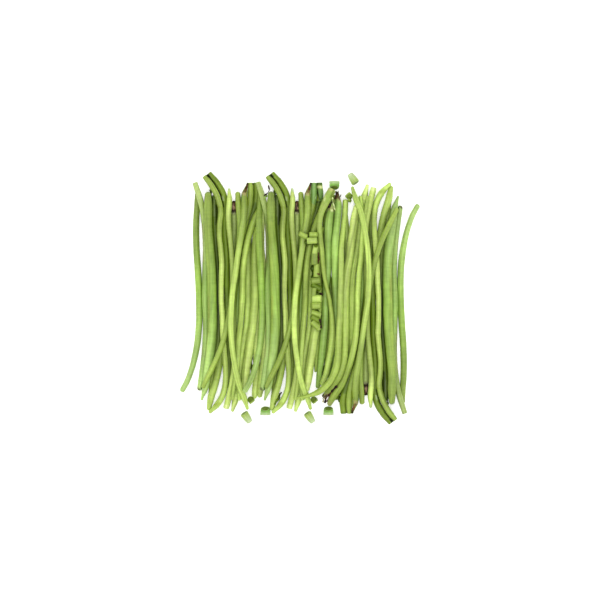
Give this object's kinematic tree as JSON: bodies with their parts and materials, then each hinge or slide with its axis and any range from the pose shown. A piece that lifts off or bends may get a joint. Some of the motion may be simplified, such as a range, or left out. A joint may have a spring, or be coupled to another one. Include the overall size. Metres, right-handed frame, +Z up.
{
  "type": "yardlong bean bunch",
  "caption": "Flat bunch of fresh yardlong beans lying side by side and across each other in sheaves, with short cut lengths of bean among them.",
  "frame": {"origin": "middle of the bunch in plan, on the surface that it lies on", "axes": "+Y along the pods, towards the ends that are at the top in the left and centre sheaves; +Z up; +X across the sheaves, towards the one that is turned end for end"},
  "size_m": [0.288, 0.3022, 0.0332],
  "materials": {
    "light_pod_skin": "semi-matte waxy skin of a light yellow-green pod",
    "green_pod_skin": "semi-matte waxy skin of a green pod",
    "olive_pod_skin": "semi-matte waxy skin of a darker olive pod",
    "bluish_pod_skin": "semi-matte waxy skin of a bluish-green pod",
    "cut_length": "semi-matte pod skin with moist pale cut ends"
  },
  "bodies": {
    "root": {"left_bean_01": "green_pod_skin", "left_bean_02": "olive_pod_skin", "left_bean_03": "olive_pod_skin", "left_bean_04": "green_pod_skin", "left_bean_05": "light_pod_skin", "left_bean_06": "olive_pod_skin", "left_bean_07": "light_pod_skin", "left_bean_08": "green_pod_skin", "left_bean_09": "green_pod_skin", "left_bean_10": "light_pod_skin", "left_bean_11": "light_pod_skin", "left_bean_12": "light_pod_skin", "left_bean_13": "light_pod_skin", "left_bean_14": "light_pod_skin", "centre_bean_01": "green_pod_skin", "centre_bean_02": "olive_pod_skin", "centre_bean_03": "olive_pod_skin", "centre_bean_04": "green_pod_skin", "centre_bean_05": "light_pod_skin", "centre_bean_06": "olive_pod_skin", "centre_bean_07": "light_pod_skin", "centre_bean_08": "green_pod_skin", "centre_bean_09": "green_pod_skin", "centre_bean_10": "light_pod_skin", "centre_bean_11": "light_pod_skin", "centre_bean_12": "light_pod_skin", "centre_bean_13": "light_pod_skin", "centre_bean_14": "light_pod_skin", "right_bean_01": "green_pod_skin", "right_bean_02": "olive_pod_skin", "right_bean_03": "olive_pod_skin", "right_bean_04": "green_pod_skin", "right_bean_05": "light_pod_skin", "right_bean_06": "olive_pod_skin", "right_bean_07": "light_pod_skin", "right_bean_08": "green_pod_skin", "right_bean_09": "green_pod_skin", "right_bean_10": "light_pod_skin", "right_bean_11": "light_pod_skin", "right_bean_12": "light_pod_skin", "right_bean_13": "light_pod_skin", "right_bean_14": "light_pod_skin", "join_bean_1": "bluish_pod_skin", "join_bean_2": "bluish_pod_skin", "join_bean_3": "light_pod_skin", "join_bean_4": "light_pod_skin", "left_bias_cut_piece": "cut_length", "left_cut_tip": "cut_length", "left_thick_cut_piece": "cut_length", "centre_bias_cut_piece": "cut_length", "centre_cut_tip": "cut_length", "centre_thick_cut_piece": "cut_length", "right_bias_cut_piece": "cut_length", "right_cut_tip": "cut_length", "right_thick_cut_piece": "cut_length", "under_beans_left": "light_pod_skin", "under_beans_middle": "olive_pod_skin", "under_bean_right": "olive_pod_skin", "row_pieces_top": "cut_length", "row_pieces_below": "cut_length"}
  },
  "joints": []
}
